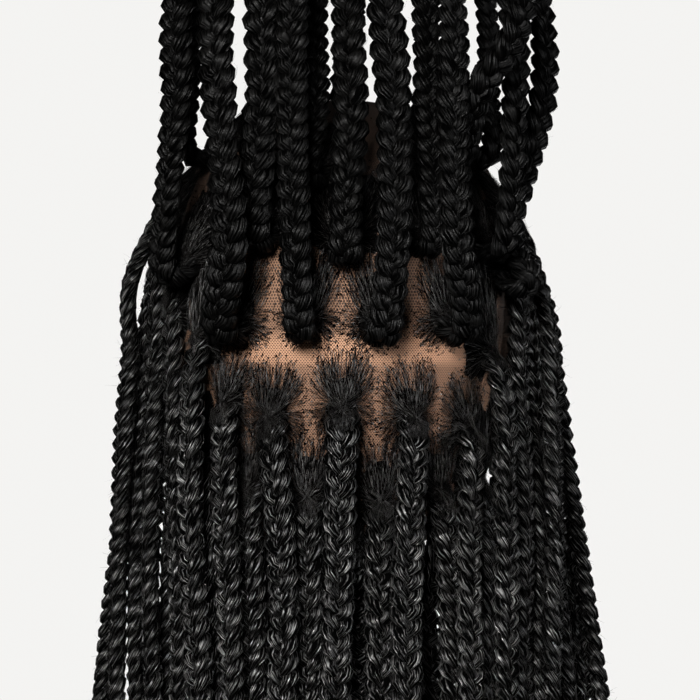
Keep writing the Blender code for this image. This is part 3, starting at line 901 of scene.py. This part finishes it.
def ribbon_flats(hairs, normal):
    """The way that hairs lying on a surface are wide, at each step."""
    tangent = unit(np.gradient(hairs, axis=1))
    return unit(np.cross(tangent, normal[:, None, :]))


def around_path(across, outward, rng):
    """Random turns round a braid, and the directions from its middle that they give."""
    around = rng.uniform(0.0, 2.0 * math.pi, len(across))
    side = across * np.cos(around)[:, None] + outward * np.sin(around)[:, None]
    return around, side


def add_fuzz(weave, path, rng, per_metre, heights=None):
    """Short stray hairs that stand off the plait's lobes."""
    count = int(BRAID_LENGTH * per_metre)
    distance = np.sort(rng.uniform(ROOT_LENGTH + FUZZ_START, ROOT_LENGTH + BRAID_LENGTH, count))
    if heights is not None:
        distance = distance[between(path.at(distance)[0][:, 2], heights)]
    count = len(distance)
    point, across, outward, width, thickness, _ = path.at(distance)
    around, side = around_path(across, outward, rng)
    foot = point + across * (FUZZ_FOOT * width * np.cos(around))[:, None]
    foot = foot + outward * (FUZZ_FOOT * thickness * np.sin(around))[:, None]
    along = np.cross(outward, across)
    lean = rng.uniform(*FUZZ_LEANS, count)[:, None]
    lean = lean * rng.choice((-1.0, 1.0, 1.0), count)[:, None]
    heading = unit(side + along * lean + rng.normal(0.0, FUZZ_SCATTER, (count, 3)))
    length = rng.uniform(*FUZZ_LENGTHS, count)[:, None]
    bend = unit(rng.normal(0.0, 1.0, (count, 3)))
    hairs = np.stack(
        [foot + heading * length * share + bend * length * FUZZ_BEND * share ** 2
         for share in FUZZ_SHARES], axis=1)
    flat = unit(np.cross(heading, rng.normal(0.0, 1.0, (count, 3))))
    add_ribbons(weave, hairs, flat[:, None, :], FUZZ_WIDTH / 2.0, rng)


class Box:
    """The patch of lace that one braid's hair is combed from, in flat places round its base."""

    def __init__(self, row, combed, form):
        self.angle = row["angle"]
        self.scale, self.fill, self.centre, self.half_height = form
        base = row["height_mm"] / 1000.0
        self.base_sweep = sweep_from_height(base)
        self.base_width = cap_half_axes(np.array(base))[0]
        self.combed = combed
        turn = cap_point(self.angle + 0.5, base) - cap_point(self.angle - 0.5, base)
        self.per_degree_across = np.linalg.norm(turn)
        near = cap_point(self.angle, height_from_sweep(self.base_sweep - 2.0))
        self.per_degree_along = np.linalg.norm(near - cap_point(self.angle, base)) / 2.0

    def place(self, across, down):
        """Angle and height of points across and down from the base, in metres."""
        sweep = self.base_sweep + self.combed * down / self.per_degree_along
        height = height_from_sweep(np.maximum(sweep, LEAST_SWEEP))
        width = np.maximum(cap_half_axes(height)[0], LEAST_HALF_WIDTH)
        spread = np.clip(self.base_width / width, *SPREAD_LIMITS)
        return self.angle + across / self.per_degree_across * spread, height

    def point(self, across, down, lift):
        angle, height = self.place(across, down)
        return cap_point(angle, height) + cap_normal(angle, height) * np.asarray(lift)[..., None]

    def normal(self, across, down):
        return cap_normal(*self.place(across, down))

    def outline(self, turn, reach):
        """Across and down at turns in radians, reach 1 on the rounded edge of the box."""
        across, down = [
            np.sign(wave) * np.abs(wave) ** BOX_SQUARENESS for wave in (np.cos(turn), np.sin(turn))]
        return (
            BOX_HALF_WIDTH * self.scale * reach * across,
            self.centre + self.half_height * reach * down,
        )


def mound_rise(share):
    return MOUND_FLOOR + MOUND_HEIGHT * smooth_step(share) ** MOUND_POWER


def add_mound(weave, box, rng):
    """The dense heart of the combed hair, from the lace up to the start of the plait."""
    ragged = 1.0 + MOUND_RAGGEDNESS * rng.uniform(-1.0, 1.0, MOUND_COLUMNS)
    edge_across, edge_down = box.outline(full_turn(MOUND_COLUMNS), box.fill * ragged)
    share = np.linspace(0.0, MOUND_TOP, MOUND_RINGS)[:, None]
    bumps = 1.0 + MOUND_BUMPS * rng.uniform(-1.0, 1.0, MOUND_COLUMNS)[None, :]
    across = edge_across[None, :] * (1.0 - share)
    down = edge_down[None, :] * (1.0 - share)
    lift = mound_rise(share) * bumps
    lift[0, :] = MOUND_SINK
    points = box.point(across, down, lift)
    places = np.empty((MOUND_RINGS, MOUND_COLUMNS + 1, 2))
    map_round = np.arange(MOUND_COLUMNS + 1)[None, :] * MOUND_MAP_ROUND
    places[:, :, 0] = map_round + rng.uniform(0.0, MAP_SPAN)
    places[:, :, 1] = share * MOUND_MAP_UP + rng.uniform(0.0, MAP_SPAN)
    weave.grids(points[None], places[None], True)


def add_root_hairs(weave, box, path, rng, count):
    """Hairs that rise from the lace, are drawn in to the base and run on over the plait."""
    turn = rng.uniform(0.0, 2.0 * math.pi, count)
    reach = np.sqrt(rng.uniform(*ROOT_HAIR_AREA, count))
    across, down = box.outline(turn, reach)
    inside = np.clip(1.0 - reach / box.fill, 0.0, 1.0)
    sway_across = rng.normal(0.0, ROOT_HAIR_SWAY, count)
    sway_down = rng.normal(0.0, ROOT_HAIR_SWAY, count)
    loft = rng.uniform(*ROOT_HAIR_LOFTS, count)
    aside = np.clip(across / (BOX_HALF_WIDTH * box.scale), -1.0, 1.0)
    rows = []
    for share in ROOT_HAIR_SHARES:
        bow = math.sin(math.pi * share)
        near_across = across * (1.0 - share) + aside * ROOT_HAIR_GATHER * share + sway_across * bow
        near_down = down * (1.0 - share) + sway_down * bow
        lift = mound_rise(inside + (1.0 - inside) * share) + loft * (ROOT_HAIR_LEAST_LOFT + bow)
        rows.append(box.point(near_across, near_down, lift))
    over = aside * LANDING_OVER + rng.normal(0.0, LANDING_SCATTER, count)
    for reach_on, clear in LANDINGS:
        landing = ROOT_LENGTH + reach_on + rng.uniform(*LANDING_REACH, count)
        point, side, outward, width, thickness, _ = path.at(landing)
        rise = thickness * (clear + rng.uniform(*LANDING_RISE, count))
        rows.append(point + side * (over * width)[:, None] + outward * rise[:, None])
    hairs = np.stack(rows, axis=1)
    normal = box.normal(across * ROOT_HAIR_FACING, down * ROOT_HAIR_FACING)
    add_ribbons(weave, hairs, ribbon_flats(hairs, normal), HAIR_WIDTH / 2.0, rng)


def add_bristles(weave, box, rng, count):
    """Knots along the edge of the box, each with a short hair that curls off it."""
    turn = rng.uniform(0.0, 2.0 * math.pi, count)
    across, down = box.outline(turn, rng.uniform(*BRISTLE_REACH, count))
    start = box.point(across, down, np.full(count, BRISTLE_FOOT))
    normal = box.normal(across, down)
    aim = box.point(across * BRISTLE_AIM, down * BRISTLE_AIM, np.full(count, BRISTLE_FOOT))
    heading = unit(unit(aim - start) + rng.normal(0.0, BRISTLE_SCATTER, (count, 3)))
    length = rng.uniform(*BRISTLE_LENGTHS, count)[:, None]
    curl = unit(np.cross(heading, normal))
    curl = curl * rng.uniform(-BRISTLE_CURL, BRISTLE_CURL, count)[:, None]
    rows = []
    for share in BRISTLE_SHARES:
        rise = normal * (BRISTLE_RISE * math.sin(share * BRISTLE_ARCH))
        rows.append(start + heading * length * share + curl * length * share ** 2 + rise)
    hairs = np.stack(rows, axis=1)
    add_ribbons(weave, hairs, ribbon_flats(hairs, normal), HAIR_WIDTH * BRISTLE_THINNING, rng)
    add_knots(weave, start, normal, heading, rng)


def add_knots(weave, start, normal, heading, rng):
    count = len(start)
    side = unit(np.cross(normal, heading))
    size = rng.uniform(*KNOT_SIZES, count)[:, None]
    corners = []
    for lift, spread in KNOT_RINGS:
        ring = [start + normal * size * lift + (side * x + heading * y) * size * spread
                for x, y in KNOT_CORNERS]
        corners.append(np.stack(ring, axis=1))
    points = np.stack(corners, axis=1)
    places = np.broadcast_to(rng.uniform(0.0, MAP_SPAN, (count, 1, 1, 1)), (count, 2, 5, 2))
    weave.grids(points, places, True)


def add_tip_tuft(weave, path, rng):
    """A small brush of hair out of the braid's end."""
    distance = rng.uniform(path.fine[-1] - TUFT_DEPTH, path.fine[-1], TUFT_HAIRS)
    point, across, outward = path.at(distance)[:3]
    side = around_path(across, outward, rng)[1]
    foot = point + side * rng.uniform(0.0, TUFT_FOOT, TUFT_HAIRS)[:, None]
    last_step = path.points[-1] - path.points[-3]
    end = path.points[-1] + last_step * rng.uniform(*TUFT_REACH, TUFT_HAIRS)[:, None]
    end = end + side * rng.uniform(0.0, TUFT_SPREAD, TUFT_HAIRS)[:, None]
    middle = foot + (end - foot) * 0.5 + side * TUFT_BOW
    hairs = np.stack((foot, middle, end), axis=1)
    flat = unit(np.cross(end - foot, rng.normal(0.0, 1.0, (TUFT_HAIRS, 3))))
    add_ribbons(weave, hairs, flat[:, None, :], HAIR_WIDTH * TUFT_THINNING, rng)


def box_form(row, lifted):
    if lifted and row["height_mm"] > CROWN_FROM_MM:
        return BOX_FORMS["crown"]
    if abs(row["angle"]) > SIDE_FROM_ANGLE:
        return BOX_FORMS["side"]
    if lifted:
        return BOX_FORMS["lifted"]
    return BOX_FORMS["back" if row["height_mm"] > NAPE_FROM_MM else "nape"]


def add_braid(row, curve, combed, seed, materials, tie_distance=None):
    rng = np.random.default_rng(seed)
    path = Path(row, curve, tie_distance, rng)
    plain = row["plain"]
    if plain and row["name"].startswith("nape"):
        path.width = path.width * FILLER_WIDENING
    weave = Weave()
    sides = PLAIN_SIDES if plain else CLOSE_SIDES
    strands = add_plait(weave, path, rng, sides, FAR_RINGS if plain else CLOSE_RINGS)
    box = Box(row, combed, box_form(row, tie_distance is not None))
    hairs, bristles = SIDE_ROOT_HAIRS, SIDE_BRISTLES
    if plain:
        hairs, bristles = PLAIN_ROOT_HAIRS, 0
    elif box.scale < FINE_SCALE:
        hairs, bristles = ROOT_HAIRS, BRISTLES
    # The mound takes the near-black heart hair: painted shade under the root hairs
    weave.kind = 2
    add_mound(weave, box, rng)
    weave.kind = 1
    add_root_hairs(weave, box, path, rng, hairs)
    if bristles:
        add_bristles(weave, box, rng, bristles)
    weave.kind = 0
    if not plain:
        add_fuzz(weave, path, rng, FUZZ_PER_METRE, CLOSE_HEIGHTS)
        add_lobe_hairs(weave, strands, rng, LOBE_HAIRS_PER_METRE, CLOSE_HEIGHTS)
    add_fuzz(weave, path, rng, FAR_FUZZ_PER_METRE)
    add_tip_tuft(weave, path, rng)
    weave.piece(row["name"] + "_hair", materials, "hair", row["name"])


def add_cap(material):
    """The lace as one smooth thin shell, with its net laid out in millimetres round the head."""
    angles = np.linspace(0.0, 360.0, CAP_COLUMNS + 1)
    sweeps = np.array([sweep_from_height(rim_height(angle)) for angle in angles])
    share = np.linspace(CAP_FIRST_SHARE, 1.0, CAP_ROWS)[:, None]
    sweep = share * sweeps[None, :]
    height = height_from_sweep(sweep)
    angle = np.broadcast_to(angles[None, :], sweep.shape)
    points = cap_point(angle, height)
    inner = points - cap_normal(angle, height) * CAP_WALL
    places = np.stack(
        (np.radians(angle) * CAP_MAP_ROUND, np.radians(sweep) * CAP_MAP_DOWN), axis=-1)
    weave = Weave()
    edge = np.stack((points[-1], inner[-1]), axis=0)
    edge_places = np.stack((places[-1], places[-1] + LACE_CELL_MM), axis=0)
    for grid, spots in ((points, places), (inner[::-1], places[::-1]), (edge, edge_places)):
        weave.grids(grid[None, :, :-1], spots[None], True)
    crown = np.broadcast_to(points[0, :-1].mean(axis=0), (CAP_COLUMNS, 3))
    top = np.stack((points[0, :-1], crown))
    weave.grids(top[None, ::-1], places[None, 1::-1], True)
    under = top - np.array((0.0, 0.0, CAP_WALL))
    weave.grids(under[None], places[None, :2], True)
    weave.piece("lace_net", [material], "lace", "lace_cap")


def add_tie(material):
    """Elastic wound several times round the lifted braids."""
    weave = Weave()
    cord = TIE_BAND / TIE_WINDS / 2.0
    rng = np.random.default_rng(TIE_SEED)
    turn = full_turn(TIE_COLUMNS)
    corner = full_turn(TIE_SIDES)
    for wind in range(TIE_WINDS):
        lean = TIE_LEAN * np.sin(turn * 2.0 + rng.uniform(0.0, 6.0))
        rise = -TIE_BAND / 2.0 + cord * (2 * wind + 1) + lean
        bulge = TIE_BULGE * np.sin(math.pi * (wind + 0.5) / TIE_WINDS)
        wide = TIE_INNER_HALF_WIDTH + cord * CORD_WIDTH + bulge
        deep = TIE_INNER_HALF_DEPTH + cord * CORD_WIDTH + bulge
        reach = cord * CORD_WIDTH * np.cos(corner)[None, :]
        across = TIE_CENTRE[0] + (wide + reach) * np.cos(turn)[:, None]
        back = TIE_CENTRE[1] + (deep + reach) * np.sin(turn)[:, None]
        up = TIE_HEIGHT + rise[:, None] + cord * CORD_HEIGHT * np.sin(corner)[None, :]
        ring = np.stack(np.broadcast_arrays(across, back, up), axis=-1)
        ring = np.concatenate((ring, ring[:1]), axis=0)
        places = np.empty((TIE_COLUMNS + 1, TIE_SIDES + 1, 2))
        places[:, :, 0] = np.arange(TIE_SIDES + 1)[None, :] * MAP_ROUND / TIE_SIDES
        run = np.arange(TIE_COLUMNS + 1)[:, None] * CORD_MAP_LENGTH / TIE_COLUMNS
        places[:, :, 1] = run + wind * CORD_MAP_STEP
        weave.grids(ring[None], places[None], True)
    weave.piece("tie_elastic", [material], "tie", "hair_tie")


def add_node(tree, kind, inputs):
    """A new node. Each input is a value, or the output of another node to link to it."""
    node = tree.nodes.new(kind)
    set_inputs(tree, node, inputs)
    return node


def set_inputs(tree, node, inputs):
    for name, value in inputs.items():
        if isinstance(value, bpy.types.NodeSocket):
            tree.links.new(value, node.inputs[name])
        else:
            node.inputs[name].default_value = value


def new_material(name, roughness):
    material = bpy.data.materials.new(name)
    material.use_nodes = True
    shader = material.node_tree.nodes["Principled BSDF"]
    set_inputs(material.node_tree, shader, {"Roughness": roughness, "Metallic": 0.0})
    return material, material.node_tree, shader


def fibre_map(tree):
    source = tree.nodes.new("ShaderNodeUVMap")
    source.uv_map = "fibre"
    return source.outputs["UV"]


def streaked_noise(tree, scale, detail):
    """Noise over the fibre map, stretched by its scale so that it can run along the hair."""
    stretch = {"Vector": fibre_map(tree), "Scale": (*scale, 1.0)}
    places = add_node(tree, "ShaderNodeMapping", stretch).outputs["Vector"]
    inputs = {"Vector": places, "Scale": 1.0, "Detail": detail}
    node = add_node(tree, "ShaderNodeTexNoise", inputs)
    node.noise_dimensions = "2D"
    return node.outputs["Fac"]


def ramp(tree, value, stops):
    node = tree.nodes.new("ShaderNodeValToRGB")
    while len(node.color_ramp.elements) < len(stops):
        node.color_ramp.elements.new(0.5)
    for element, (place, colour) in zip(node.color_ramp.elements, stops):
        element.position = place
        element.color = (*colour, 1.0)
    tree.links.new(value, node.inputs["Fac"])
    return node.outputs["Color"]


def bump(tree, height, distance, strength):
    inputs = {"Height": height, "Distance": distance, "Strength": strength}
    return add_node(tree, "ShaderNodeBump", inputs).outputs["Normal"]


def map_range(tree, value, source, target=(0.0, 1.0)):
    inputs = {
        "Value": value, "From Min": source[0], "From Max": source[1],
        "To Min": target[0], "To Max": target[1],
    }
    return add_node(tree, "ShaderNodeMapRange", inputs).outputs["Result"]


def math_step(tree, operation, *values):
    node = tree.nodes.new("ShaderNodeMath")
    node.operation = operation
    for value, socket in zip(values, node.inputs):
        tree.links.new(value, socket)
    return node.outputs[0]


def multiplied(tree, one, other):
    node = tree.nodes.new("ShaderNodeVectorMath")
    node.operation = "MULTIPLY"
    tree.links.new(one, node.inputs[0])
    tree.links.new(other, node.inputs[1])
    return node.outputs["Vector"]


def hair_material(name):
    """Hair whose colour and shine both vary in streaks along the fibres."""
    dark, light, roughness, shine, limits = HAIR_LOOKS[name]
    material, tree, shader = new_material(name, roughness)
    streaks = streaked_noise(tree, HAIR_STREAKS, 4.0)
    set_inputs(tree, shader, {
        "Base Color": ramp(tree, streaks, ((limits[0], dark), (limits[1], light))),
        "Specular IOR Level": map_range(tree, streaks, limits, shine),
        "Normal": bump(tree, streaks, HAIR_BUMP, 1.0),
    })
    return material


def lace_material():
    """A hexagonal net: three sets of waves, 120 degrees apart, added together."""
    material, tree, shader = new_material("lace_net", 0.75)
    places = fibre_map(tree)
    wave = 4.0 * math.pi / (math.sqrt(3.0) * LACE_CELL_MM)
    total = None
    for turn in (0.0, 120.0, 240.0):
        heading = tree.nodes.new("ShaderNodeVectorMath")
        heading.operation = "DOT_PRODUCT"
        heading.inputs[1].default_value = (
            wave * math.sin(math.radians(turn)), wave * math.cos(math.radians(turn)), 0.0)
        tree.links.new(places, heading.inputs[0])
        crest = math_step(tree, "COSINE", heading.outputs["Value"])
        total = crest if total is None else math_step(tree, "ADD", total, crest)
    net = map_range(tree, total, (-1.2, 2.2))
    # Tan threads, and holes dark brown in painted shade
    woven = ramp(tree, net, LACE_NET)
    place = tree.nodes.new("ShaderNodeTexCoord").outputs["Object"]
    parted = add_node(tree, "ShaderNodeSeparateXYZ", {"Vector": place})
    # Painted light and shade by height: a bright band at the parting, painted shade over the crown
    # and darker below
    depth = ramp(tree, map_range(tree, parted.outputs["Z"], LACE_PAINTED_LIGHT_HEIGHTS), LACE_PAINTED_LIGHT_AND_SHADE)
    aside = math_step(tree, "ABSOLUTE", parted.outputs["X"])
    shade = ramp(tree, map_range(tree, aside, LACE_REACH), LACE_SIDES)
    lowered = map_range(tree, net, (0.0, 1.0), (0.0, -1.0))
    set_inputs(tree, shader, {
        "Base Color": multiplied(tree, multiplied(tree, woven, depth), shade),
        "Specular IOR Level": LACE_SHINE,
        "Normal": bump(tree, lowered, LACE_BUMP, 0.7),
    })
    return material


def tie_material():
    material, tree, shader = new_material("tie_elastic", 0.8)
    knit = streaked_noise(tree, TIE_STREAKS, 2.0)
    set_inputs(tree, shader, {
        "Base Color": ramp(tree, knit, TIE_KNIT), "Normal": bump(tree, knit, TIE_BUMP, 0.9)})
    return material


def add_area_light(name, place, aim, size, power, colour, spread):
    light = bpy.data.lights.new(name, "AREA")
    light.shape = "RECTANGLE"
    light.size, light.size_y = size
    light.energy = power
    light.color = colour
    light.spread = math.radians(spread)
    item = add_object(name, light)
    item.location = place
    way = unit(np.array(aim, dtype=float) - np.array(place, dtype=float))
    turn = math.atan2(way[0], -way[1])
    item.rotation_euler = (math.acos(-way[2]), 0.0, math.pi + turn)


def set_world():
    """A pale room for the eye, and a weaker one for the light that falls on the hair."""
    world = bpy.data.worlds.new("room")
    bpy.context.scene.world = world
    world.use_nodes = True
    tree = world.node_tree
    tree.nodes.clear()
    seen = add_node(tree, "ShaderNodeBackground", {"Color": ROOM_SEEN})
    light = {"Color": ROOM_LIGHT, "Strength": ROOM_STRENGTH}
    fill = add_node(tree, "ShaderNodeBackground", light)
    mix = tree.nodes.new("ShaderNodeMixShader")
    path = tree.nodes.new("ShaderNodeLightPath")
    output = tree.nodes.new("ShaderNodeOutputWorld")
    tree.links.new(path.outputs["Is Camera Ray"], mix.inputs["Fac"])
    tree.links.new(fill.outputs[0], mix.inputs[1])
    tree.links.new(seen.outputs[0], mix.inputs[2])
    tree.links.new(mix.outputs[0], output.inputs["Surface"])


def add_floor():
    """A pale floor that glows by itself and throws no light back on the hair."""
    material, tree, shader = new_material("floor", 0.9)
    set_inputs(tree, shader, {
        "Base Color": FLOOR_COLOUR,
        "Emission Color": FLOOR_GLOW,
        "Emission Strength": FLOOR_GLOW_STRENGTH,
    })
    half = FLOOR_SIZE / 2.0
    mesh = bpy.data.meshes.new("floor")
    sides = ((-half, -half), (half, -half), (half, half), (-half, half))
    corners = [(x, y, FLOOR_HEIGHT) for x, y in sides]
    mesh.from_pydata(corners, [], [(0, 1, 2, 3)])
    mesh.materials.append(material)
    floor = add_object("floor", mesh)
    floor.visible_diffuse = False
    floor.visible_glossy = False


def add_camera():
    camera = bpy.data.cameras.new("camera")
    camera.lens = FOCAL_LENGTH_PIXELS * SENSOR_WIDTH / PICTURE_PIXELS
    camera.sensor_width = SENSOR_WIDTH
    item = add_object("camera", camera)
    item.location = CAMERA_PLACE
    item.rotation_euler = (math.pi / 2.0, 0.0, 0.0)
    bpy.context.scene.camera = item


def main():
    looks = {name: hair_material(name) for name in HAIR_LOOKS}
    # Both sets end with the near-black heart hair for the mounds: painted shade
    falling = [looks[name] for name in ("hair", "hair_combed", "hair_heart_painted_shade")]
    # The lifted braids take the darker, duller hair: painted shade
    raised = [looks[name] for name in ("hair_raised_painted_shade", "hair_combed", "hair_heart_painted_shade")]
    add_cap(lace_material())
    add_tie(tie_material())
    hanging = []
    for group, table in HANGING.items():
        hanging += named_rows(group, HANGING_COLUMNS, table)
    for seed, row in enumerate(hanging, HANGING_SEED):
        add_braid(row, hanging_curve(row), 1, seed, falling)
    for seed, row in enumerate(named_rows("lifted", LIFTED_COLUMNS, LIFTED), LIFTED_SEED):
        curve = lifted_curve(row)
        add_braid(row, curve, row["combed"], seed, raised, distance_to_tie(curve))
    set_world()
    add_floor()
    for name, light in LIGHTS.items():
        add_area_light(name, *light)
    bpy.context.scene.view_settings.view_transform = "Standard"
    add_camera()


main()
